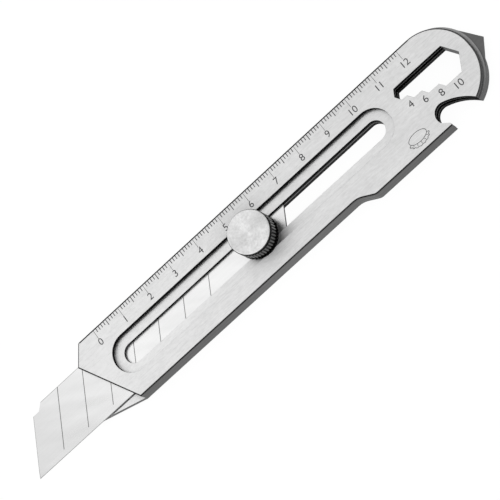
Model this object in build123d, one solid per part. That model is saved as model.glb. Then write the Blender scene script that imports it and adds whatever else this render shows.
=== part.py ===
from build123d import *
import math
import os

# Utility knife with a long snap-off blade: three steel plates screwed into one flat handle, a blade that
# slides in a channel between them, and a knurled thumb knob that clamps it. Millimetres.
# The part lies on its back plate: +X towards the blade tip, +Y towards the cutting edge, +Z out of the
# ruler face. Flat shapes are given in ruler coordinates: u runs from the ruler's zero towards the tail,
# v runs from the ruler edge across the handle.

# Handle outline
body_width = 25.94
tail_width = 28.84
tail_end_u = 137.17
tail_radii = (13.3, 14.1)
tail_step = 0.83
bulge_start_u = 84.8
bulge_slope = 30.0
bulge_fillets = (6.0, 3.0)
nose_top_u = -5.95
nose_front = (-10.42, 5.88)
nose_bottom_u = -0.16
nose_fillet = 0.8
beak_tip = (-15.91, 21.57)
centre_v = 13.72

# Plate thicknesses, from the back plate to the ruler plate
back_thickness = 1.8
middle_thickness = 1.8
front_thickness = 1.5
ruler_edge_break = 0.5
lower_edge_break = 0.35
back_edge_break = 0.15
cutout_break = 0.06
seam_break = 0.18
overrun = 1.0
trim_margin = 0.01

# Pointed tail of the middle plate
tip_u = 141.2
tip_v = 14.41
tip_edge_thickness = 0.3
tip_bevel_run = 4.0
tip_bevel_share = 0.999
tip_root = 12.0

# Slide slot: a wide recess in the ruler plate over narrower slots in the two plates behind it
slot_centres_u = (5.75, 100.75)
recess_width = 12.63
recess_v = 13.575
middle_slot_width = 6.4
back_slot_width = 6.0

# Blade and its channel
blade_width = 18.0
blade_length = 100.0
blade_thickness = 0.6
blade_tip_u = -40.07
blade_rake = 60.0
first_segment = 10.2
segment_pitch = 10.0
score_count = 7
score_width = 0.22
score_depth = 0.12
score_end_gap = 0.1
bevel_width = 1.6
cutting_edge_flat = 0.06
corner_step = (1.9, 2.3, 4.4)
channel_depth = 0.9
channel_side_gap = 0.15
channel_end_gap = 0.3
blade_retract = 42.0
groove_sides = (-0.4, 0.25)
groove_depth = 0.7

# Knob, its bolt and its washer, on one axis through the blade's hole
knob_u = 55.6
knob_diameter = 13.5
knob_face_height = 6.7
knob_float = 0.1
knob_rim_round = 0.5
knob_foot_break = 0.15
knurl_count = 44
knurl_depth = 0.32
knurl_share = 0.7
knurl_plain_rim = 0.6
collar_diameter = 9.0
spigot_diameter = 5.6
lip_diameter = 6.1
lip_height = 0.25
washer_diameter = 11.6
washer_hole = 5.75
washer_thickness = 0.8
face_gap = 0.05
thread_diameter = 4.0
thread_clearance = 0.05
shoulder_diameter = 4.4
blade_hole = 4.6
bolt_head_length = 9.0
bolt_head_width = 5.7
bolt_head_recess = 0.25
shoulder_gap = 0.15
thread_end_gap = 0.3
knob_cap = 1.4

# Wrench cutout: hexagons that share one straight wall, each given as nut size and centre u
wrench_wall_v = 8.51
wrench_clearance = 0.3
wrench_hexes = ((4, 113.75), (6, 117.34), (8, 121.98), (10, 127.45))
wrench_fillet = 0.3

# Bottle opener notch: a tight round, a long sweep up to the hook, and a lip
notch_centre = (119.6, 24.69)
notch_radius = 3.28
notch_sweep_radius = 17.5
hook_tip = (128.95, 27.33)
notch_lip = (118.67, 27.88)
notch_lip_angle = 152.0
notch_mouth_u = 118.78
notch_overrun = 12.0

# Fasteners, set from the back and stopping short of the ruler face
screw_places = (
    (0.0, 2.24), (40.0, 2.24), (80.0, 2.24),
    (10.0, 24.14), (46.0, 24.14), (80.0, 24.14),
    (118.0, 4.34), (104.0, 25.34), (132.2, 21.74),
)
screw_diameter = 1.6
screw_head_diameter = 3.0
screw_clearance = 0.1
screw_thread_fit = 0.04
screw_sink = 0.05
screw_bite = 1.0
screw_socket = 0.9
screw_socket_depth = 0.45
dowel_places = ((-2.6, 2.24), (2.0, 24.14), (126.5, 4.54), (111.0, 25.34))
dowel_diameter = 1.5
dowel_fit = 0.01
dowel_bite = 0.8
dowel_sink = 0.2
blind_gap = 0.15

# Heights that follow from the stack
z_middle = back_thickness
z_front = z_middle + middle_thickness
z_face = z_front + front_thickness
z_web = z_middle + channel_depth
z_blade = z_middle + (channel_depth - blade_thickness) / 2
z_blade_face = z_blade + blade_thickness
z_washer = z_front + face_gap
z_collar = z_washer + washer_thickness + face_gap
z_knob = z_face + knob_float
z_knob_face = z_face + knob_face_height

# The frame's origin is under the middle of the whole length and width
origin_u = (tip_u + blade_tip_u) / 2
origin_v = tail_width / 2
blade_spine_v = centre_v - blade_width / 2
blade_edge_v = centre_v + blade_width / 2
mouth_u = beak_tip[0] - overrun
slot_middle_u = sum(slot_centres_u) / 2
wrench_middle_u = sum(centre for _, centre in wrench_hexes) / len(wrench_hexes)
rake_slope = 1 / math.tan(math.radians(blade_rake))


def at(u, v):
    """A point of the handle, from ruler coordinates to the part's own X and Y."""
    return (origin_u - u, v - origin_v)


def on_circle(centre, radius, degrees):
    """A point on a circle in ruler coordinates, with the angle from +u towards +v."""
    angle = math.radians(degrees)
    return (centre[0] + radius * math.cos(angle), centre[1] + radius * math.sin(angle))


def line(a, b):
    return Line(at(*a), at(*b))


def arc(centre, radius, start, end):
    """The arc of a circle between two angles in degrees."""
    angles = (start, (start + end) / 2, end)
    return ThreePointArc(*[at(*on_circle(centre, radius, angle)) for angle in angles])


def slab(face, z_low, z_high):
    return Pos(0, 0, z_low) * extrude(face, amount=z_high - z_low, dir=(0, 0, 1))


def rod(u, v, diameter, z_low, z_high):
    """An upright cylinder."""
    x, y = at(u, v)
    return Pos(x, y, (z_low + z_high) / 2) * Cylinder(diameter / 2, z_high - z_low)


def outline(tail_shift, nose):
    """A plate's outer shape: ruler edge, round tail, bulge below it, and the given nose points."""
    end_u = tail_end_u + tail_shift
    (upper, upper_radius), (lower, lower_radius) = tail_rounds(tail_shift)
    bulge_run = (tail_width - body_width) / math.tan(math.radians(bulge_slope))
    bulge_end = (bulge_start_u + bulge_run, tail_width)
    bulge_start = (bulge_start_u, body_width)
    corners = [(nose_top_u, 0), *nose, (nose_bottom_u, body_width), bulge_start, bulge_end]
    edges = [
        line((nose_top_u, 0), (upper[0], 0)),
        arc(upper, upper_radius, -90, 0),
        line((end_u, upper[1]), (end_u, lower[1])),
        arc(lower, lower_radius, 0, 90),
        line((lower[0], tail_width), bulge_end),
    ]
    edges += [line(a, b) for a, b in zip(corners, corners[1:])]
    shape = make_face(edges)
    for corner, radius in zip((bulge_start, bulge_end), bulge_fillets):
        shape = fillet(nearest_corner(shape, corner), radius)
    return fillet(nearest_corner(shape, (nose_top_u, 0)), nose_fillet)


def tail_rounds(tail_shift):
    """Centre and radius of the tail's two round corners, the ruler side first."""
    end_u = tail_end_u + tail_shift
    upper, lower = tail_radii
    return ((end_u - upper, upper), upper), ((end_u - lower, tail_width - lower), lower)


def nearest_corner(shape, corner):
    return shape.vertices().sort_by_distance((*at(*corner), 0))[0]


def slide_slot(width, v):
    """A slot with round ends along the handle."""
    first, last = slot_centres_u
    x, y = at((first + last) / 2, v)
    return Pos(x, y) * SlotCenterToCenter(last - first, width)


def wrench_cutout():
    """Half hexagons stepped along one straight wall, largest at the tail."""
    root3 = math.sqrt(3)
    flats = [(size + wrench_clearance, centre) for size, centre in wrench_hexes]
    small, small_u = flats[0]
    large, large_u = flats[-1]
    points = [
        (small_u - small / root3, wrench_wall_v + small / 2),
        (small_u - small / root3 / 2, wrench_wall_v),
        (large_u + large / root3 / 2, wrench_wall_v),
        (large_u + large / root3, wrench_wall_v + large / 2),
        (large_u + large / root3 / 2, wrench_wall_v + large),
    ]
    for (width, centre), (next_width, _) in zip(flats[:0:-1], flats[-2::-1]):
        corner_u = centre - width / root3 / 2
        points.append((corner_u, wrench_wall_v + width))
        points.append((corner_u - (width - next_width) / root3, wrench_wall_v + next_width))
    points.append((small_u - small / root3 / 2, wrench_wall_v + small))
    shape = make_face(Polyline(*[at(*point) for point in points], close=True))
    return fillet(shape.vertices(), wrench_fillet)


def opener_notch():
    """The bottle opener's opening, from its lip round to past the hook."""
    reach = notch_sweep_radius - notch_radius
    hook_u = hook_tip[0] - notch_centre[0]
    hook_v = hook_tip[1] - notch_centre[1]
    hook_far = math.hypot(hook_u, hook_v)
    turn = math.acos((hook_far**2 + reach**2 - notch_sweep_radius**2) / (2 * hook_far * reach))
    towards = math.degrees(math.atan2(hook_v, hook_u) + turn)
    sweep_centre = on_circle(notch_centre, reach, towards)
    join = towards + 180
    hook_angle = math.degrees(math.atan2(hook_tip[1] - sweep_centre[1], hook_tip[0] - sweep_centre[0]))
    past_hook = hook_angle + notch_overrun
    lip_start = on_circle(notch_centre, notch_radius, notch_lip_angle)
    sweep_end = on_circle(sweep_centre, notch_sweep_radius, past_hook)
    below = tail_width + overrun
    corners = [sweep_end, (sweep_end[0], below), (notch_mouth_u, below)]
    corners += [(notch_mouth_u, tail_width), notch_lip, lip_start]
    edges = [
        arc(notch_centre, notch_radius, notch_lip_angle, join),
        arc(sweep_centre, notch_sweep_radius, join - 360, past_hook),
    ]
    edges += [line(a, b) for a, b in zip(corners, corners[1:])]
    return make_face(edges)


def blade_outline():
    """The blade's flat shape: a raked strip whose front corner at the spine is cut away."""
    drop, flat, ramp = corner_step
    rise = blade_width * rake_slope
    front_u = blade_tip_u + (blade_width - drop) * rake_slope
    points = [
        (blade_tip_u, blade_edge_v),
        (blade_tip_u + blade_length, blade_edge_v),
        (blade_tip_u + blade_length + rise, blade_spine_v),
        (front_u + ramp, blade_spine_v),
        (front_u + flat, blade_spine_v + drop),
        (front_u, blade_spine_v + drop),
    ]
    return make_face(Polyline(*[at(*point) for point in points], close=True))


def blade_channel():
    """The pocket that the blade slides in, open at the nose and raked like the blade at its end."""
    low = blade_spine_v - channel_side_gap
    high = blade_edge_v + channel_side_gap
    end_u = blade_tip_u + blade_length + blade_retract + channel_end_gap
    points = [
        (mouth_u, low),
        (mouth_u, high),
        (end_u - (high - blade_edge_v) * rake_slope, high),
        (end_u + (blade_edge_v - low) * rake_slope, low),
    ]
    return make_face(Polyline(*[at(*point) for point in points], close=True))


def edge_groove():
    """A relief groove under the cutting edge, which keeps the edge clear of the back plate."""
    low, high = [blade_edge_v + side for side in groove_sides]
    end_u = blade_tip_u + blade_length + blade_retract
    points = [(mouth_u, low), (mouth_u, high), (end_u, high), (end_u, low)]
    return make_face(Polyline(*[at(*point) for point in points], close=True))


def face_at(plate, z):
    """A plate's flat face at the given height."""
    return plate.faces().filter_by(Axis.Z).filter_by_position(Axis.Z, z - 0.01, z + 0.01)[0]


def bevel_ruler_edge(plate):
    """Bevels a plate's outer edge on its ruler face, most on the ruler side and least on the other."""
    lean = (ruler_edge_break - lower_edge_break) / 2
    wider = offset(face_at(plate, z_face), lean + trim_margin, kind=Kind.INTERSECTION)
    blank = slab(Pos(0, lean, -z_face) * wider, z_front - overrun, z_face)
    return plate & chamfer(face_at(blank, z_face).outer_wire().edges(), ruler_edge_break)


def cutout_rim(plate, z, u):
    """The edges of the cutout nearest to a place on the centreline, at the given height."""
    wires = face_at(plate, z).inner_wires()
    return wires.sort_by_distance((*at(u, centre_v), z))[0].edges()


def notch_rim(plate, z):
    """The edges of the bottle opener's notch at the given height, short of the outline."""
    x_low, y_high = at(hook_tip[0], tail_width - trim_margin)
    x_high, y_low = at(*[centre - notch_radius - overrun for centre in notch_centre])
    outside = face_at(plate, z).outer_wire().edges()
    return outside.filter_by_position(Axis.X, x_low, x_high).filter_by_position(Axis.Y, y_low, y_high)


def screw_holes(plate, diameter, z_low, z_high):
    return plate - [rod(u, v, diameter, z_low, z_high) for u, v in screw_places]


def dowel_holes(plate, z_low, z_high):
    return plate - [rod(u, v, dowel_diameter, z_low, z_high) for u, v in dowel_places]


def countersink(u, v, diameter):
    """The cone of a countersunk head, mouth down."""
    x, y = at(u, v)
    height = diameter / 2
    return Pos(x, y, height / 2) * Cone(diameter / 2, 0, height)


cutouts = [wrench_cutout(), opener_notch()]
front_nose = [nose_front]
beak = [nose_front, beak_tip]


# Ruler plate: the wide slot is cut right through it, which leaves the recess around the slide
def make_front_plate():
    plate = bevel_ruler_edge(slab(outline(0, front_nose), z_front, z_face))
    plate -= slab(Sketch() + cutouts + slide_slot(recess_width, recess_v), z_front, z_face)
    for u in (slot_middle_u, wrench_middle_u):
        plate = chamfer(cutout_rim(plate, z_face, u), cutout_break)
    screw_top = z_front + screw_bite + blind_gap
    plate = screw_holes(plate, screw_diameter + screw_thread_fit, z_front, screw_top)
    return dowel_holes(plate, z_front, z_front + dowel_bite + blind_gap)


# Middle plate: the narrow slot, the blade channel milled in its back, and the pointed tail
def make_middle_plate():
    shape = outline(tail_step, front_nose) - cutouts - slide_slot(middle_slot_width, centre_v)
    plate = slab(shape, z_middle, z_front)
    plate = chamfer(cutout_rim(plate, z_front, slot_middle_u), cutout_break)
    plate = chamfer(cutout_rim(plate, z_front, wrench_middle_u) + notch_rim(plate, z_front), seam_break)
    plate += pointed_tip()
    plate -= slab(Sketch() + cutouts, z_middle, z_front)
    plate -= slab(blade_channel(), z_middle, z_web)
    plate = screw_holes(plate, screw_diameter + 2 * screw_clearance, z_middle, z_front)
    return dowel_holes(plate, z_middle, z_front)


def pointed_tip():
    """A wedge whose sides run on from the tail's round, sloped from both faces to a thin edge."""
    touches = []
    for (centre, radius), side in zip(tail_rounds(tail_step), (-1, 1)):
        away = math.hypot(tip_u - centre[0], tip_v - centre[1])
        lean = math.degrees(math.atan2(tip_v - centre[1], tip_u - centre[0]))
        turn = math.degrees(math.acos(radius / away))
        touches.append(on_circle(centre, radius, lean + side * turn))
    points = [(tip_u, tip_v), touches[0], (tail_end_u - tip_root, tip_v), touches[1]]
    shape = make_face(Polyline(*[at(*point) for point in points], close=True))
    z_mid = (z_middle + z_front) / 2
    half_edge = tip_edge_thickness / 2
    bevel = middle_thickness / 2 - half_edge
    taper = math.degrees(math.atan(tip_bevel_run / bevel))
    wedge = slab(shape, z_mid - half_edge, z_mid + half_edge)
    for side in (1, -1):
        face = Pos(0, 0, z_mid + side * half_edge) * shape
        wedge += extrude(face, bevel * tip_bevel_share, dir=(0, 0, side), taper=taper)
    return wedge


# Back plate: its nose runs on behind the blade as a beak
def make_back_plate():
    shape = outline(tail_step, beak) - cutouts - slide_slot(back_slot_width, centre_v)
    plate = slab(shape, 0, back_thickness)
    for u in (slot_middle_u, wrench_middle_u):
        plate = chamfer(cutout_rim(plate, back_thickness, u), seam_break)
        plate = chamfer(cutout_rim(plate, 0, u), cutout_break)
    plate = chamfer(notch_rim(plate, back_thickness), seam_break)
    plate = chamfer(face_at(plate, 0).outer_wire().edges(), back_edge_break)
    plate -= slab(edge_groove(), back_thickness - groove_depth, back_thickness)
    plate = screw_holes(plate, screw_diameter + 2 * screw_clearance, 0, back_thickness)
    plate -= [countersink(u, v, screw_head_diameter + 2 * screw_clearance) for u, v in screw_places]
    return dowel_holes(plate, 0, back_thickness)


# Case screws: countersunk, with a small hexagon socket
def make_case_screw(u, v):
    x, y = at(u, v)
    head_height = (screw_head_diameter - screw_diameter) / 2
    head = Pos(x, y, screw_sink + head_height / 2)
    head *= Cone(screw_head_diameter / 2, screw_diameter / 2, head_height)
    shank = rod(u, v, screw_diameter, screw_sink + head_height, z_front + screw_bite)
    socket = Pos(x, y) * RegularPolygon(screw_socket / 2, 6, major_radius=False)
    return head + shank - slab(socket, 0, screw_sink + screw_socket_depth)


# Dowel pins that keep the three plates in register
def make_dowel_pin(u, v):
    return rod(u, v, dowel_diameter - dowel_fit, dowel_sink, z_front + dowel_bite)


# Blade: scored for snapping, ground to an edge along one side
def make_blade():
    blade = slab(blade_outline(), z_blade, z_blade_face)
    blade -= rod(knob_u, centre_v, blade_hole, z_blade, z_blade_face)
    blade -= bevel_cut(1)
    blade -= bevel_cut(-1)
    front_u = blade_tip_u + (blade_edge_v - centre_v) * rake_slope
    first_u = front_u + first_segment
    scores = [score_groove(first_u + segment_pitch * i) for i in range(score_count)]
    return blade - scores


def bevel_cut(side):
    """The wedge ground away on one side of the cutting edge."""
    z_mid = z_blade + blade_thickness / 2
    y_edge = at(0, blade_edge_v)[1]
    y_start = y_edge - bevel_width
    z_side = z_mid + side * blade_thickness / 2
    z_edge = z_mid + side * cutting_edge_flat / 2
    y_out = y_edge + overrun
    z_out = z_side + side * overrun
    points = [(y_start, z_side), (y_edge, z_edge), (y_out, z_edge), (y_out, z_out), (y_start, z_out)]
    profile = make_face(Polyline(*points, close=True))
    return extrude(Plane.YZ * profile, amount=blade_length * 2, both=True)


def score_groove(centre_u):
    """A shallow groove across the blade, from the spine to just short of the ground edge."""
    top_v = blade_spine_v - overrun
    end_v = blade_edge_v - bevel_width - score_end_gap
    half = score_width / 2 / math.sin(math.radians(blade_rake))
    upper_u = centre_u + (centre_v - top_v) * rake_slope
    lower_u = centre_u - (end_v - centre_v) * rake_slope
    upper = [(upper_u - half, top_v), (upper_u + half, top_v)]
    lower = [(lower_u + half, end_v), (lower_u - half, end_v)]
    strip = make_face(Polyline(*[at(*point) for point in upper + lower], close=True))
    return slab(strip, z_blade_face - score_depth, z_blade_face + overrun)


# Clamp bolt: its flat head rides in the back plate's slot and draws the blade forward
def make_clamp_bolt():
    x, y = at(knob_u, centre_v)
    head = slab(Pos(x, y) * SlotOverall(bolt_head_length, bolt_head_width), bolt_head_recess, z_blade)
    shoulder = rod(knob_u, centre_v, shoulder_diameter, z_blade, z_front - lip_height - shoulder_gap)
    thread_end = z_knob_face - knob_cap - thread_end_gap
    thread = rod(knob_u, centre_v, thread_diameter, z_blade, thread_end)
    return head + shoulder + thread


# Washer between the knob and the recess floor
def make_clamp_washer():
    ring = rod(knob_u, centre_v, washer_diameter, z_washer, z_washer + washer_thickness)
    return ring - rod(knob_u, centre_v, washer_hole, z_washer, z_washer + washer_thickness)


# Thumb knob: straight knurl, a collar down to the washer, and a rolled lip that keeps the washer on
def make_thumb_knob():
    x, y = at(knob_u, centre_v)
    body = rod(knob_u, centre_v, knob_diameter, z_knob, z_knob_face)
    body = chamfer(body.edges().filter_by(GeomType.CIRCLE).sort_by(Axis.Z)[0], knob_foot_break)
    body = fillet(body.edges().filter_by(GeomType.CIRCLE).sort_by(Axis.Z)[-1], knob_rim_round)
    body -= [knurl_groove(x, y, 360 * i / knurl_count) for i in range(knurl_count)]
    body += rod(knob_u, centre_v, collar_diameter, z_collar, z_knob)
    body += rod(knob_u, centre_v, spigot_diameter, z_front - lip_height, z_collar)
    body += rod(knob_u, centre_v, lip_diameter, z_front - lip_height, z_front)
    hole = thread_diameter + 2 * thread_clearance
    return body - rod(knob_u, centre_v, hole, z_front - lip_height, z_knob_face - knob_cap)


def knurl_groove(x, y, degrees):
    """One upright V groove in the knob's rim."""
    radius = knob_diameter / 2
    half = math.pi * radius / knurl_count * knurl_share
    spread = half * (knurl_depth + overrun) / knurl_depth
    points = [(radius - knurl_depth, 0), (radius + overrun, spread), (radius + overrun, -spread)]
    groove = make_face(Polyline(*points, close=True))
    z_low = z_knob + knurl_plain_rim
    return Pos(x, y) * Rot(0, 0, degrees) * slab(groove, z_low, z_knob_face - knurl_plain_rim)


os.makedirs("parts", exist_ok=True)
nodes = {
    "front_plate": make_front_plate(),
    "middle_plate": make_middle_plate(),
    "back_plate": make_back_plate(),
    "case_screws": Compound(children=[make_case_screw(u, v) for u, v in screw_places]),
    "dowel_pins": Compound(children=[make_dowel_pin(u, v) for u, v in dowel_places]),
    "snap_off_blade": make_blade(),
    "clamp_bolt": make_clamp_bolt(),
    "clamp_washer": make_clamp_washer(),
    "thumb_knob": make_thumb_knob(),
}
for name, shape in nodes.items():
    export_step(shape, f"parts/{name}.step")
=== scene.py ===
import math

import bmesh
import bpy
from mathutils import Matrix, Vector


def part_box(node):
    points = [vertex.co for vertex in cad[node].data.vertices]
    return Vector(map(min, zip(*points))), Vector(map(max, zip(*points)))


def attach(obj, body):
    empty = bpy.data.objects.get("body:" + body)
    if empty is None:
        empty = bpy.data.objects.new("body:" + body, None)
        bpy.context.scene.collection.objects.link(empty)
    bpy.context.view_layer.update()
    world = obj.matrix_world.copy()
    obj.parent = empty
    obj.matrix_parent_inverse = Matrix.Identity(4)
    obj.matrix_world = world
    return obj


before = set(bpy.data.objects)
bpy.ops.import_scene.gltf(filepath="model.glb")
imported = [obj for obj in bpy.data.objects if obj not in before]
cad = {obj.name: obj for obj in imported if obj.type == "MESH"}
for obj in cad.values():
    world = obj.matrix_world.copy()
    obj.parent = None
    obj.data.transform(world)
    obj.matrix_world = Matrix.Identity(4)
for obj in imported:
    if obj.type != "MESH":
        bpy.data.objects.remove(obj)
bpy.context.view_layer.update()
scene = bpy.context.scene
scene.view_settings.view_transform = "Standard"

# Camera
# A long lens looks down on the ruler face from the cutting edge's side, a little towards the tail.
# The picture's up direction lies across the knife, so the blade points to the lower left.
photo_pixels = 500
focal_pixels = 2634.0
sensor_width = 36.0
camera_distance = 0.7522
camera_azimuth = math.radians(204.2)
camera_elevation = math.radians(64.25)
picture_up_heading = math.radians(232.05)
look_at = Vector((-0.000935, 0.00087, 0.0051))


def add_object(name, data):
    """A new object in the scene, made from a camera, lamp, mesh or text."""
    thing = bpy.data.objects.new(name, data)
    scene.collection.objects.link(thing)
    return thing


backward = Vector((
    math.sin(camera_azimuth) * math.cos(camera_elevation),
    -math.cos(camera_azimuth) * math.cos(camera_elevation),
    math.sin(camera_elevation),
))
up_hint = Vector((math.cos(picture_up_heading), math.sin(picture_up_heading), 0))
rightward = up_hint.cross(backward).normalized()
upward = backward.cross(rightward)
camera_turn = Matrix((rightward, upward, backward)).transposed().to_4x4()

camera_data = bpy.data.cameras.new("photo_camera")
camera_data.sensor_width = sensor_width
camera_data.lens = focal_pixels / photo_pixels * sensor_width
camera = add_object("photo_camera", camera_data)
camera.matrix_world = Matrix.Translation(look_at + backward * camera_distance) @ camera_turn
scene.camera = camera

# Floor and light
# A wide white sheet carries the knife, inside a pale studio dome with two brighter places: above the nose
# on the ruler's side, where one large soft lamp hangs too, and lower on the camera's side. The sheet reads
# as white and still takes a faint shadow.
floor_size = 12.0
floor_drop = 0.0001
floor_colour = (0.93, 0.93, 0.93, 1)
floor_glow = 0.90
floor_white = 1.05
dome_light = 0.64
# Each bright place has its direction, the cosine at which it begins and the light that it adds.
bright_places = (
    ((0.450, -0.440, 0.777), 0.45, 0.40),
    ((-0.371, 0.832, 0.412), 0.20, 0.40),
)
lamp_distance = 1.4
lamp_width = 1.8
lamp_watts = 1.4


def feed(tree, socket, value):
    """Links a socket to another one, or sets its value."""
    if isinstance(value, bpy.types.NodeSocket):
        tree.links.new(value, socket)
    else:
        socket.default_value = value


def feed_all(tree, node, values):
    """Feeds several sockets of a node, each by its name or number."""
    for key, value in values.items():
        feed(tree, node.inputs[key], value)


def new_node(tree, kind, values=None, **options):
    """Adds one node, sets its options and feeds its sockets."""
    node = tree.nodes.new(kind)
    for name, option in options.items():
        setattr(node, name, option)
    feed_all(tree, node, values or {})
    return node


def calc(tree, operation, *values, clamp=False):
    """A math node on sockets or plain numbers."""
    node = new_node(tree, "ShaderNodeMath", dict(enumerate(values)), operation=operation, use_clamp=clamp)
    return node.outputs[0]


half = floor_size / 2
floor_corners = [(-half, -half), (half, -half), (half, half), (-half, half)]
floor_mesh = bpy.data.meshes.new("floor")
floor_mesh.from_pydata([(x, y, -floor_drop) for x, y in floor_corners], [], [(0, 1, 2, 3)])
floor = add_object("floor", floor_mesh)

paper = bpy.data.materials.new("white_sheet")
paper.use_nodes = True
tree = paper.node_tree
tree.nodes.clear()
rays = new_node(tree, "ShaderNodeLightPath").outputs
seen = calc(tree, "ADD", rays["Is Camera Ray"], rays["Is Glossy Ray"], clamp=True)
seen = calc(tree, "ADD", seen, rays["Is Transmission Ray"], clamp=True)
glow_share = calc(tree, "MULTIPLY", seen, floor_glow)
sheet = new_node(tree, "ShaderNodeBsdfDiffuse", {"Color": floor_colour})
glow = new_node(tree, "ShaderNodeEmission", {"Strength": floor_white})
blend = new_node(tree, "ShaderNodeMixShader", {0: glow_share, 1: sheet.outputs[0], 2: glow.outputs[0]})
new_node(tree, "ShaderNodeOutputMaterial", {"Surface": blend.outputs[0]})
floor_mesh.materials.append(paper)

world = bpy.data.worlds.new("pale_dome")
world.use_nodes = True
scene.world = world
tree = world.node_tree
tree.nodes.clear()
direction = new_node(tree, "ShaderNodeTexCoord").outputs["Generated"]
strength = dome_light
for place, begin, gain in bright_places:
    towards = new_node(tree, "ShaderNodeVectorMath", {0: direction, 1: place}, operation="DOT_PRODUCT")
    rise = {"Value": towards.outputs["Value"], "From Min": begin, "To Max": gain}
    added = new_node(tree, "ShaderNodeMapRange", rise, interpolation_type="SMOOTHSTEP")
    strength = calc(tree, "ADD", added.outputs["Result"], strength)
dome = new_node(tree, "ShaderNodeBackground", {"Strength": strength})
new_node(tree, "ShaderNodeOutputWorld", {"Surface": dome.outputs[0]})

lamp_data = bpy.data.lights.new("soft_lamp", "AREA")
lamp_data.shape = "SQUARE"
lamp_data.size = lamp_width
lamp_data.energy = lamp_watts
lamp = add_object("soft_lamp", lamp_data)
lamp_place = Vector(bright_places[0][0]) * lamp_distance
lamp_turn = (-lamp_place).to_track_quat("-Z", "Y").to_matrix().to_4x4()
lamp.matrix_world = Matrix.Translation(lamp_place) @ lamp_turn

# Handle plates
# Three stainless plates, cut to one outline, brushed along their length and screwed together. Flat faces
# are bright and finely lined, with painted light that brightens them towards the nose. The cut walls and
# the ground tail are darker, partly their dull finish and partly painted shade; edge breaks are painted dark
# as shade, and inside the cutouts the walls, and the floor of the blade channel, are painted nearly black as
# shade.
handle_edge_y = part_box("front_plate")[0].y
outside_y = -0.0150
ruler_edge_x = (-0.0740, 0.0560)
tail_x = (-0.082, -0.070)
handle_x = (-0.085, 0.055)
# Areas of the face around the cutouts, as two corners.
slide_area = ((-0.0560, -0.0078), (0.0525, 0.0059))
wrench_area = ((-0.0799, -0.0078), (-0.0560, 0.0059))
notch_area = ((-0.0784, 0.0062), (-0.0650, 0.0140))
# Flatness is one on a level face and zero on an upright wall.
upright_below = 0.3
ground_from = 0.92
level_from = 0.992


def new_steel(name):
    """A material with one metal shader, and the object's own coordinates and facing to build on."""
    material = bpy.data.materials.new(name)
    material.use_nodes = True
    tree = material.node_tree
    shader = tree.nodes["Principled BSDF"]
    shader.inputs["Metallic"].default_value = 1.0
    place = new_node(tree, "ShaderNodeTexCoord").outputs
    return material, tree, shader, place["Object"], place["Normal"]


def axes(tree, vector):
    """The X, Y and Z of a vector."""
    return new_node(tree, "ShaderNodeSeparateXYZ", {0: vector}).outputs


def flatness_of(tree, normal):
    """How flat a surface lies, facing up or down."""
    return calc(tree, "ABSOLUTE", axes(tree, normal)["Z"])


def grain(tree, position, per_metre, detail=3.0):
    """Noise with its own scale along each axis, as a value from 0 to 1."""
    stretch = new_node(tree, "ShaderNodeMapping", {"Vector": position, "Scale": per_metre})
    look = {"Vector": stretch.outputs[0], "Scale": 1.0, "Detail": detail, "Roughness": 0.6}
    return new_node(tree, "ShaderNodeTexNoise", look).outputs["Fac"]


def spread(tree, value, low, high, from_low=0.25, from_high=0.75):
    """Maps a value onto a range, held at its ends. Noise mostly lies in the middle half."""
    ends = {"From Min": from_low, "From Max": from_high, "To Min": low, "To Max": high}
    return new_node(tree, "ShaderNodeMapRange", {"Value": value, **ends}).outputs["Result"]


def grey(level):
    """A plain grey as a colour."""
    return (level, level, level, 1)


def steps(tree, value, stops):
    """A ramp of flat greys: each stop is where it starts and its level."""
    node = new_node(tree, "ShaderNodeValToRGB", {"Fac": value})
    ramp = node.color_ramp
    ramp.interpolation = "CONSTANT"
    while len(ramp.elements) < len(stops):
        ramp.elements.new(1.0)
    for element, (start, level) in zip(ramp.elements, stops):
        element.position = start
        element.color = grey(level)
    return node.outputs["Color"]


def between(tree, value, low, high):
    """One where a value lies between two limits, zero elsewhere."""
    away = calc(tree, "ABSOLUTE", calc(tree, "SUBTRACT", value, (low + high) / 2))
    return calc(tree, "LESS_THAN", away, (high - low) / 2)


def both(tree, first, second):
    """One where two masks are both one."""
    return calc(tree, "MULTIPLY", first, second)


def either(tree, first, second):
    """One where at least one of two masks is one."""
    return calc(tree, "MAXIMUM", first, second)


def inside(tree, position, low, high):
    """One inside an upright box given by two corners, zero outside."""
    within_x = between(tree, axes(tree, position)["X"], low[0], high[0])
    within_y = between(tree, axes(tree, position)["Y"], low[1], high[1])
    return both(tree, within_x, within_y)


def mix_colours(tree, mode, factor, first, second):
    """A colour mix node: its colour sockets are the seventh and eighth, and its result is the third."""
    sockets = {0: factor, 6: first, 7: second}
    return new_node(tree, "ShaderNodeMix", sockets, data_type="RGBA", blend_type=mode).outputs[2]


def tint(tree, colour, factor):
    """Multiplies a colour by a second colour or value."""
    return mix_colours(tree, "MULTIPLY", 1.0, colour, factor)


def pick(tree, mask, when_zero, when_one):
    """Chooses between two colours or values by a mask."""
    return mix_colours(tree, "MIX", mask, when_zero, when_one)


def emboss(tree, shader, height, depth):
    """A fine relief on the shader's normal."""
    relief = new_node(tree, "ShaderNodeBump", {"Strength": 1.0, "Distance": depth, "Height": height})
    feed(tree, shader.inputs["Normal"], relief.outputs[0])


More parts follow.
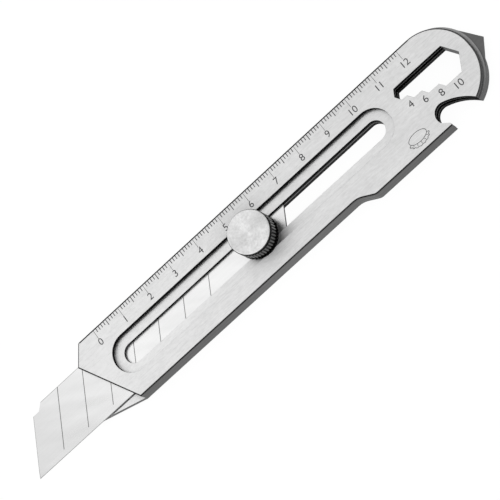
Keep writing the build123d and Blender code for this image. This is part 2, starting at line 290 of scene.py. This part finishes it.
def brushed_plate(name, faces, breaks, seams, inner_wall_shade, scatter=0.0, ruler_shade_width=0.0, channel_shadow=0.0):
    """Brushed faces, edge breaks and dull cut walls, told apart by how and where they lie.

    Faces are the greys around the cutouts and elsewhere, breaks those along the body and at the tail,
    and seams those of the small chamfers in the slide and in the wrench. The breaks, the darker seams in
    the cutouts, the walls inside the cutouts, a strip along the ruler edge and, where asked, the floor of
    the blade channel are painted shade, and so is the grey elsewhere on the middle plate.
    """
    # Walls and ground facets are darker than the faces: partly their dull cut and ground finish, partly
    # painted shade.
    wall, ground = 0.15, 0.19
    brush_relief = 0.000004
    cutout_face, outer_face = faces
    body_break_shade, tail_break_shade = breaks
    slide_seam, wrench_seam = seams
    material, tree, shader, position, normal = new_steel(name)
    x = axes(tree, position)["X"]
    flatness = flatness_of(tree, normal)
    brush = grain(tree, position, (160, 3000, 3000))
    speckle = grain(tree, position, (650, 1500, 1500))
    clouds = grain(tree, position, (60, 110, 110), detail=2.0)
    cut_lines = grain(tree, position, (260, 260, 3800), detail=2.0)

    by_slide = inside(tree, position, *slide_area)
    by_wrench = either(tree, inside(tree, position, *wrench_area), inside(tree, position, *notch_area))
    by_cutout = either(tree, by_slide, by_wrench)
    elsewhere = calc(tree, "SUBTRACT", 1.0, by_cutout)
    upright = calc(tree, "LESS_THAN", flatness, upright_below)
    sloped = between(tree, flatness, upright_below, ground_from)
    level = calc(tree, "GREATER_THAN", flatness, level_from)
    face_up = calc(tree, "GREATER_THAN", axes(tree, normal)["Z"], level_from)
    # Painted shade: the walls inside the cutouts, and where asked the floor of the blade channel, are nearly
    # black and dull.
    channel_shadow_mask = calc(tree, "MULTIPLY", both(tree, by_slide, face_up), channel_shadow)
    painted_shade = either(tree, both(tree, by_cutout, upright), channel_shadow_mask)
    # Painted shade: a dark strip on the face along the straight ruler edge, as wide as given.
    edge_area = ((ruler_edge_x[0], outside_y), (ruler_edge_x[1], handle_edge_y + ruler_shade_width))
    ruler_edge_shade = both(tree, inside(tree, position, *edge_area), face_up)
    # Painted shade: the edge breaks outside the cutouts, and the strip along the ruler edge, are dark and
    # dull, changing from one grey at the tail to another along the body.
    painted_edge_shade = either(tree, both(tree, sloped, elsewhere), ruler_edge_shade)

    colour = steps(tree, flatness, [(0.0, wall), (ground_from, ground), (level_from, cutout_face)])
    colour = pick(tree, both(tree, face_up, elsewhere), colour, grey(outer_face))
    colour = pick(tree, painted_edge_shade, colour, spread(tree, x, tail_break_shade, body_break_shade, *tail_x))
    # The chamfers in the cutouts take their own greys; those low in the wrench or behind the slide are set
    # darker as painted shade.
    colour = pick(tree, both(tree, sloped, by_slide), colour, grey(slide_seam))
    colour = pick(tree, both(tree, sloped, by_wrench), colour, grey(wrench_seam))
    colour = pick(tree, painted_shade, colour, grey(inner_wall_shade))
    lines = pick(tree, upright, spread(tree, brush, 0.92, 1.06), spread(tree, cut_lines, 0.78, 1.2))
    colour = tint(tree, colour, lines)
    colour = tint(tree, colour, spread(tree, speckle, 0.93, 1.07))
    colour = tint(tree, colour, spread(tree, clouds, 0.96, 1.04))
    # Painted light: the plates are brighter towards the nose and darker towards the tail.
    colour = tint(tree, colour, spread(tree, x, 0.92, 1.05, *handle_x))

    dull = either(tree, calc(tree, "MULTIPLY", level, scatter), either(tree, painted_shade, painted_edge_shade))
    roughness = pick(tree, upright, spread(tree, brush, 0.34, 0.46), spread(tree, cut_lines, 0.45, 0.6))
    along = new_node(tree, "ShaderNodeTangent", direction_type="RADIAL", axis="Y")
    feed_all(tree, shader, {
        "Base Color": colour,
        "Metallic": calc(tree, "SUBTRACT", 1.0, dull),
        "Roughness": roughness,
        "Specular IOR Level": 0.0,
        "Anisotropic": 0.7,
        "Tangent": along.outputs[0],
    })
    emboss(tree, shader, pick(tree, upright, brush, cut_lines), brush_relief)
    return material


def dress(node, material):
    """Gives a frame node its finish."""
    slots = cad[node].data.materials
    slots.clear()
    slots.append(material)


dress("front_plate", brushed_plate(
    "ruler_plate_steel", (0.95, 0.95), (0.035, 0.09), (0.95, 0.95),
    inner_wall_shade=0.013, scatter=0.85, ruler_shade_width=0.00062,
))
# The middle plate's face outside the front plate, the step at the tail, is painted dark grey as shade beside
# the front plate's wall.
dress("middle_plate", brushed_plate(
    "middle_plate_steel", (0.89, 0.40), (0.10, 0.10), (0.95, 0.25),
    inner_wall_shade=0.003,
))
dress("back_plate", brushed_plate(
    "back_plate_steel", (0.89, 0.95), (0.10, 0.10), (0.30, 0.25),
    inner_wall_shade=0.06, scatter=0.3, channel_shadow=1.0,
))


# Blade
# A long strip of hardened steel, ground smooth, scored across on its face so that dull ends snap off,
# and sharpened along one side. It lies loose in the channel behind the slot. Its finish has painted sheen
# bands, a painted fade towards the tip, and painted shade in the score grooves, along its edges and on
# its thin sides.
def polished_blade():
    """Bright ground steel with slanted sheen bands, grey score grooves and a grey line at its edges."""
    bright, ground_edge, groove_shade, edge_shade, side_shade = 0.925, 0.97, 0.36, 0.50, 0.01
    border_width = 0.00016
    score_step = 0.00004
    bevel_from, face_from = 0.5, 0.995
    rake = math.tan(math.radians(30))
    sheen_lean = math.radians(28)
    tip_fade_from_x = 0.045
    line_relief = 0.000002
    low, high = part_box("snap_off_blade")
    material, tree, shader, position, normal = new_steel("polished_blade")
    x, y, z = axes(tree, position)
    flatness = flatness_of(tree, normal)
    leaning = new_node(tree, "ShaderNodeMapping", {"Vector": position, "Rotation": (0, 0, sheen_lean)})
    bands = grain(tree, leaning.outputs[0], (30, 190, 30), detail=1.5)
    fine = grain(tree, position, (140, 2600, 2600))

    face_up = calc(tree, "GREATER_THAN", axes(tree, normal)["Z"], face_from)
    scored = both(tree, calc(tree, "LESS_THAN", z, high.z - score_step), face_up)
    across = calc(tree, "MULTIPLY_ADD", y, -rake, x)
    front, rear = high.x - rake * high.y, low.x - rake * low.y
    # Painted shade: a grey line along every edge of the blade's face.
    shaded_edge = calc(tree, "LESS_THAN", y, low.y + border_width)
    shaded_edge = either(tree, shaded_edge, calc(tree, "GREATER_THAN", y, high.y - border_width))
    shaded_edge = either(tree, shaded_edge, calc(tree, "GREATER_THAN", across, front - border_width))
    shaded_edge = either(tree, shaded_edge, calc(tree, "LESS_THAN", across, rear + border_width))

    # The thin sides of the blade are painted nearly black and dull, as shade.
    colour = steps(tree, flatness, [(0.0, side_shade), (bevel_from, ground_edge), (face_from, bright)])
    # Painted shade: the floors of the score grooves are grey.
    colour = pick(tree, scored, colour, grey(groove_shade))
    # Painted sheen: soft slanted bands of light and shade across the blade.
    colour = tint(tree, colour, spread(tree, bands, 0.88, 1.08))
    colour = tint(tree, colour, spread(tree, fine, 0.97, 1.02))
    colour = tint(tree, colour, spread(tree, shaded_edge, 1.0, edge_shade, 0.0, 1.0))
    # Painted shade: the blade darkens from near the handle's nose out to its tip.
    colour = tint(tree, colour, spread(tree, x, 1.06, 0.82, tip_fade_from_x, high.x))
    feed_all(tree, shader, {
        "Base Color": colour,
        "Metallic": calc(tree, "GREATER_THAN", flatness, bevel_from),
        "Roughness": spread(tree, bands, 0.25, 0.36),
        "Specular IOR Level": 0.0,
    })
    emboss(tree, shader, fine, line_relief)
    return material


dress("snap_off_blade", polished_blade())


# Clamp bolt, washer, case screws and dowel pins
# Small turned stainless pieces. The bolt and washer sit under the knob, and the screws and pins are set
# in the back plate, so only their ends show.
def turned_steel():
    """Plain turned steel: satin, a little mottled, darker down in sockets and on walls."""
    face, wall = 0.62, 0.30
    cone = (face + wall) / 2
    cone_from, face_from = 0.5, 0.95
    mottle_relief = 0.000004
    material, tree, shader, position, normal = new_steel("turned_steel")
    speckle = grain(tree, position, (1800, 1800, 900))
    # Painted shade: walls and cones are darker than the faces, as shade down in sockets and on walls.
    shades = [(0.0, wall), (cone_from, cone), (face_from, face)]
    colour = steps(tree, flatness_of(tree, normal), shades)
    colour = tint(tree, colour, spread(tree, speckle, 0.88, 1.06))
    feed_all(tree, shader, {"Base Color": colour, "Roughness": spread(tree, speckle, 0.26, 0.42)})
    emboss(tree, shader, speckle, mottle_relief)
    return material


fastener_steel = turned_steel()
for piece in ("clamp_bolt", "clamp_washer", "case_screws", "dowel_pins"):
    dress(piece, fastener_steel)


# Thumb knob
# Turned from bar: a flat face with fine turning rings, a rounded rim, and a straight knurl rolled into the
# side for grip. It screws down on the clamp bolt. Its finish has a painted highlight on the rim, a painted
# sheen across the face, painted shade on the knurled side with painted highlights on its ridges, and black
# painted shade under the rim, at the foot and underneath.
def combine(tree, x=0.0, y=0.0, z=0.0):
    """A vector from three sockets or numbers."""
    return new_node(tree, "ShaderNodeCombineXYZ", {"X": x, "Y": y, "Z": z}).outputs[0]


def turned_knob():
    """Turning rings on the face with a painted sheen that is brighter along one axis, a painted highlight on
    the rim, and a knurled side in painted shade with painted highlights on its ridges and black shade at its
    ends.
    """
    face, rim, shoulder_shade, side, band_shade = 0.80, 1.0, 0.06, 0.045, 0.004
    rim_from, face_from = 0.80, 0.97
    band_height = 0.0013
    knurl_foot = 0.0075
    groove_floor, ridge_top = 0.00022, 0.00004
    underside_facing = -0.5
    ring_relief = 0.000010
    low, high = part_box("thumb_knob")
    axis = (low + high) / 2
    radius = (high.x - low.x) / 2
    material, tree, shader, position, normal = new_steel("turned_knob")
    centred = new_node(tree, "ShaderNodeMapping", {"Vector": position, "Location": (-axis.x, -axis.y, 0)})
    x, y, z = axes(tree, centred.outputs[0])
    from_axis = new_node(tree, "ShaderNodeVectorMath", {0: combine(tree, x, y)}, operation="LENGTH")
    reach = from_axis.outputs["Value"]
    rings = grain(tree, combine(tree, reach), (4200, 1, 1))
    fan = calc(tree, "ABSOLUTE", calc(tree, "DIVIDE", y, reach))
    clouds = grain(tree, position, (330, 330, 330), detail=2.0)
    speckle = grain(tree, position, (1500, 1500, 1500))
    flatness = flatness_of(tree, normal)
    upright = calc(tree, "LESS_THAN", flatness, upright_below)
    knurl_light_and_shade = spread(tree, reach, 0.05, 3.6, radius - groove_floor, radius - ridge_top)

    # Painted shade: a band under the rim, the foot of the side and the underside are black and dull.
    plain = calc(tree, "GREATER_THAN", z, high.z - band_height)
    plain = either(tree, plain, calc(tree, "LESS_THAN", z, knurl_foot))
    plain = both(tree, plain, upright)
    plain = either(tree, plain, calc(tree, "LESS_THAN", axes(tree, normal)["Z"], underside_facing))

    # Painted light by slope: a highlight on the rim's rounding, shade on its steeper part and on the knurled
    # side.
    shades = [(0.0, side), (upright_below, shoulder_shade), (rim_from, rim), (face_from, face)]
    colour = steps(tree, flatness, shades)
    # Painted light on the knurl: highlights on the ridges and shade in the grooves.
    colour = tint(tree, colour, pick(tree, upright, spread(tree, rings, 0.90, 1.07), knurl_light_and_shade))
    # Painted sheen: the face is brighter towards its Y axis and darker towards its X axis, as a fan.
    colour = tint(tree, colour, spread(tree, fan, 0.895, 1.06, 0.0, 1.0))
    colour = tint(tree, colour, spread(tree, clouds, 0.86, 1.10))
    colour = tint(tree, colour, spread(tree, speckle, 0.87, 1.13))
    colour = pick(tree, plain, colour, grey(band_shade))
    feed_all(tree, shader, {
        "Base Color": colour,
        "Metallic": calc(tree, "SUBTRACT", 1.0, plain),
        "Roughness": spread(tree, rings, 0.24, 0.38),
        "Specular IOR Level": 0.0,
        "Anisotropic": 0.6,
    })
    emboss(tree, shader, rings, ring_relief)
    return material


dress("thumb_knob", turned_knob())

# Ruler marks
# A scale of centimetres, half centimetres and millimetres, laser marked along the edge of the front plate.
# Each mark is a thin dark layer that lies on the brushed face.
ruler_zero_x = 0.050565
ruler_millimetres = 120
millimetre = 0.001
mark_start = 0.00064
mark_thickness = 0.000012
mark_sink = 0.000004
mark_floor_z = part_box("front_plate")[1].z - mark_sink


def on_handle(u, v, lift=0.0):
    """A point where a mark lies, from the ruler's zero, the ruler edge and the mark's underside."""
    return Vector((ruler_zero_x - u, handle_edge_y + v, mark_floor_z + lift))


def laser_mark():
    """Grey oxide left by the laser: matt, and uneven at the scale of the brush lines."""
    oxide = (0.07, 0.07, 0.073, 1)
    material, tree, shader, position, normal = new_steel("laser_mark")
    burn = grain(tree, position, (900, 2400, 2400))
    colour = tint(tree, oxide, spread(tree, burn, 0.7, 1.35))
    feed_all(tree, shader, {"Base Color": colour, "Metallic": 0.3, "Roughness": 0.6})
    return material


def bar_tree(name, sizes, place):
    """Starts a geometry tree whose inputs are a count, some sizes and one place."""
    tree = bpy.data.node_groups.new(name, "GeometryNodeTree")
    sockets = tree.interface
    sockets.new_socket("Marks", in_out="OUTPUT", socket_type="NodeSocketGeometry")
    sockets.new_socket("Count", in_out="INPUT", socket_type="NodeSocketInt")
    for size in sizes:
        sockets.new_socket(size, in_out="INPUT", socket_type="NodeSocketFloat")
    sockets.new_socket(place, in_out="INPUT", socket_type="NodeSocketVector")
    return tree, new_node(tree, "NodeGroupInput").outputs


def set_bars(tree, points, foot, size, material, rotation=None):
    """Sets a bar on every point by its foot, sized and turned, and ends the tree in one plain mesh."""
    cube = new_node(tree, "GeometryNodeMeshCube").outputs["Mesh"]
    bar = new_node(tree, "GeometryNodeTransform", {"Geometry": cube, "Translation": foot}).outputs[0]
    spots = {"Points": points, "Instance": bar, "Scale": size}
    if rotation is not None:
        spots["Rotation"] = rotation
    bars = new_node(tree, "GeometryNodeInstanceOnPoints", spots).outputs["Instances"]
    real = new_node(tree, "GeometryNodeRealizeInstances", {"Geometry": bars}).outputs[0]
    coat = new_node(tree, "GeometryNodeSetMaterial", {"Geometry": real, "Material": material}).outputs[0]
    new_node(tree, "NodeGroupOutput", {0: coat})


def ruler_tree(material):
    """Bars set at a pitch along a line, longer at every fifth and longer again at every tenth."""
    sizes = ("Pitch", "Thickness", "Millimetre", "Half", "Centimetre", "Width", "Fine Width")
    tree, given = bar_tree("ruler_marks", sizes, "Start")
    step = combine(tree, calc(tree, "MULTIPLY", given["Pitch"], -1.0))
    line = new_node(
        tree, "GeometryNodeMeshLine", mode="OFFSET", count_mode="TOTAL",
        values={"Count": given["Count"], "Start Location": given["Start"], "Offset": step},
    )
    index = new_node(tree, "GeometryNodeInputIndex").outputs[0]
    fifth = calc(tree, "LESS_THAN", calc(tree, "MODULO", index, 5.0), 0.5)
    tenth = calc(tree, "LESS_THAN", calc(tree, "MODULO", index, 10.0), 0.5)
    longer = calc(tree, "SUBTRACT", given["Half"], given["Millimetre"])
    length = calc(tree, "MULTIPLY_ADD", fifth, longer, given["Millimetre"])
    longest = calc(tree, "SUBTRACT", given["Centimetre"], given["Half"])
    length = calc(tree, "MULTIPLY_ADD", tenth, longest, length)
    thinner = calc(tree, "SUBTRACT", given["Fine Width"], given["Width"])
    width = calc(tree, "MULTIPLY_ADD", tenth, thinner, given["Width"])
    size = combine(tree, width, length, given["Thickness"])
    set_bars(tree, line.outputs["Mesh"], (0, 0.5, 0.5), size, material)
    return tree


def to_mesh(maker, name):
    """Keeps what an object evaluates to as a plain mesh, and removes the object."""
    made = bpy.data.meshes.new_from_object(maker.evaluated_get(bpy.context.evaluated_depsgraph_get()))
    bpy.data.objects.remove(maker)
    made.name = name
    return made


def grow(name, tree, values):
    """Runs a geometry tree with the given inputs and keeps the result as a piece."""
    maker = add_object(name + "_maker", bpy.data.meshes.new(name + "_seed"))
    modifier = maker.modifiers.new(name, "NODES")
    modifier.node_group = tree
    for item in tree.interface.items_tree:
        if item.in_out == "INPUT":
            modifier[item.identifier] = values[item.name]
    return add_object(name, to_mesh(maker, name))


mark_grey = laser_mark()
ruler_marks = grow("ruler_marks", ruler_tree(mark_grey), {
    "Count": ruler_millimetres + 1,
    "Pitch": millimetre,
    "Thickness": mark_thickness,
    "Millimetre": 0.00115,
    "Half": 0.0019,
    "Centimetre": 0.0031,
    "Width": 0.00024,
    "Fine Width": 0.00012,
    "Start": tuple(on_handle(0, mark_start)),
})
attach(ruler_marks, "handle")

# Ruler and wrench numbers
# Plain figures marked by the same laser: the centimetres beside their long marks, and the nut sizes
# beside the steps of the wrench. They read from the nose, with their tops towards the ruler edge.
ruler_figure = 0.00220
wrench_figure = 0.00230
cap_share = 0.7
last_centimetre = 12
first_number_v = 0.00470
number_line_drift = 0.00034
wrench_numbers = {
    "4": (0.1136, 0.01564),
    "6": (0.1177, 0.01744),
    "8": (0.1224, 0.01934),
    "10": (0.1278, 0.02094),
}


def figure(name, text, u, v, height):
    """A number centred on a point given from the ruler's zero and the ruler edge."""
    curve = bpy.data.curves.new(name, "FONT")
    curve.body = text
    curve.align_x = "CENTER"
    curve.align_y = "CENTER"
    curve.size = height / cap_share
    curve.extrude = mark_thickness / 2
    curve.resolution_u = 4
    made = to_mesh(add_object(name + "_writer", curve), name)
    low = Vector(map(min, *[corner.co for corner in made.vertices]))
    high = Vector(map(max, *[corner.co for corner in made.vertices]))
    made.transform(Matrix.Translation(-(low + high) / 2))
    made.transform(Matrix.Rotation(math.pi, 4, "Z"))
    made.transform(Matrix.Translation(on_handle(u, v, mark_thickness / 2)))
    made.materials.clear()
    made.materials.append(mark_grey)
    piece = add_object(name, made)
    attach(piece, "handle")


for centimetre in range(last_centimetre + 1):
    number_u = 10 * millimetre * centimetre
    number_v = first_number_v + number_line_drift * centimetre / last_centimetre
    figure(f"ruler_number_{centimetre}", str(centimetre), number_u, number_v, ruler_figure)

for nut, (nut_u, nut_v) in wrench_numbers.items():
    figure(f"wrench_number_{nut}", nut, nut_u, nut_v, wrench_figure)

# Bottle opener sign
# A plain drawing of a crown cap, marked beside the opener: an oval top, the lower edge of its skirt in
# small waves, and a row of crimp lines between the two.
sign_u, sign_v = 0.10910, 0.02449
top_length, top_width = 0.00312, 0.00153
skirt_length, skirt_width = 0.00345, 0.00205
skirt_drop = 0.00062
crimps = 8
crimp_length = 0.00085
wave = 0.00010
line_width = 0.00017
crimp_line_width = 0.8 * line_width
drawing_steps = 96


def marked_line(name, path, width, closed):
    """A thin dark line along points of the ruler face."""
    count = len(path)
    points = []
    for i, point in enumerate(path):
        before = path[i - 1] if closed or i else point
        after = path[(i + 1) % count] if closed or i + 1 < count else point
        along = (after - before).normalized()
        side = Vector((-along.y, along.x, 0)) * width / 2
        for edge in (point - side, point + side):
            points += [(edge.x, edge.y, mark_floor_z), (edge.x, edge.y, mark_floor_z + mark_thickness)]
    walls = ((0, 2), (2, 3), (3, 1), (1, 0))
    faces = []
    for i in range(count if closed else count - 1):
        a = 4 * i
        b = 4 * ((i + 1) % count)
        faces += [(a + first, a + second, b + second, b + first) for first, second in walls]
    if not closed:
        last = 4 * (count - 1)
        faces += [(0, 1, 3, 2), (last, last + 2, last + 3, last + 1)]
    mesh = bpy.data.meshes.new(name)
    mesh.from_pydata(points, [], faces)
    shape = bmesh.new()
    shape.from_mesh(mesh)
    bmesh.ops.recalc_face_normals(shape, faces=shape.faces)
    shape.to_mesh(mesh)
    shape.free()
    mesh.materials.append(mark_grey)
    piece = add_object(name, mesh)
    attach(piece, "handle")


def crimp_tree(material):
    """Bars set square to an oval arc, evenly spaced in angle."""
    sizes = ("First", "Step", "Half Length", "Half Width", "Reach", "Width", "Thickness")
    tree, given = bar_tree("crimp_lines", sizes, "Centre")
    line = new_node(
        tree, "GeometryNodeMeshLine", mode="OFFSET", count_mode="TOTAL",
        values={"Count": given["Count"]},
    )
    index = new_node(tree, "GeometryNodeInputIndex").outputs[0]
    angle = calc(tree, "MULTIPLY_ADD", index, given["Step"], given["First"])
    x = calc(tree, "MULTIPLY", calc(tree, "COSINE", angle), given["Half Length"])
    y = calc(tree, "MULTIPLY", calc(tree, "SINE", angle), given["Half Width"])
    terms = {0: combine(tree, x, y), 1: given["Centre"]}
    spot = new_node(tree, "ShaderNodeVectorMath", terms, operation="ADD").outputs[0]
    line_points = line.outputs["Mesh"]
    arc = new_node(tree, "GeometryNodeSetPosition", {"Geometry": line_points, "Position": spot}).outputs[0]
    size = combine(tree, given["Reach"], given["Width"], given["Thickness"])
    set_bars(tree, arc, (0.5, 0, 0.5), size, material, combine(tree, z=angle))
    return tree


top_path = []
for i in range(drawing_steps):
    turned = 2 * math.pi * i / drawing_steps
    top_path.append(on_handle(sign_u + top_length * math.cos(turned), sign_v + top_width * math.sin(turned)))
marked_line("cap_top", top_path, line_width, closed=True)

skirt_path = []
for i in range(drawing_steps + 1):
    turned = math.pi * i / drawing_steps
    swell = 1 - wave / skirt_width * math.cos(2 * crimps * turned)
    skirt_u = sign_u + skirt_length * math.cos(turned) * swell
    skirt_v = sign_v + skirt_drop + skirt_width * math.sin(turned) * swell
    skirt_path.append(on_handle(skirt_u, skirt_v))
marked_line("cap_skirt", skirt_path, line_width, closed=False)

crimp_lines = grow("cap_crimps", crimp_tree(mark_grey), {
    "Count": crimps - 1,
    "First": math.pi / crimps,
    "Step": math.pi / crimps,
    "Half Length": top_length,
    "Half Width": top_width,
    "Reach": crimp_length,
    "Width": crimp_line_width,
    "Thickness": mark_thickness,
    "Centre": tuple(on_handle(sign_u, sign_v)),
})
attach(crimp_lines, "handle")
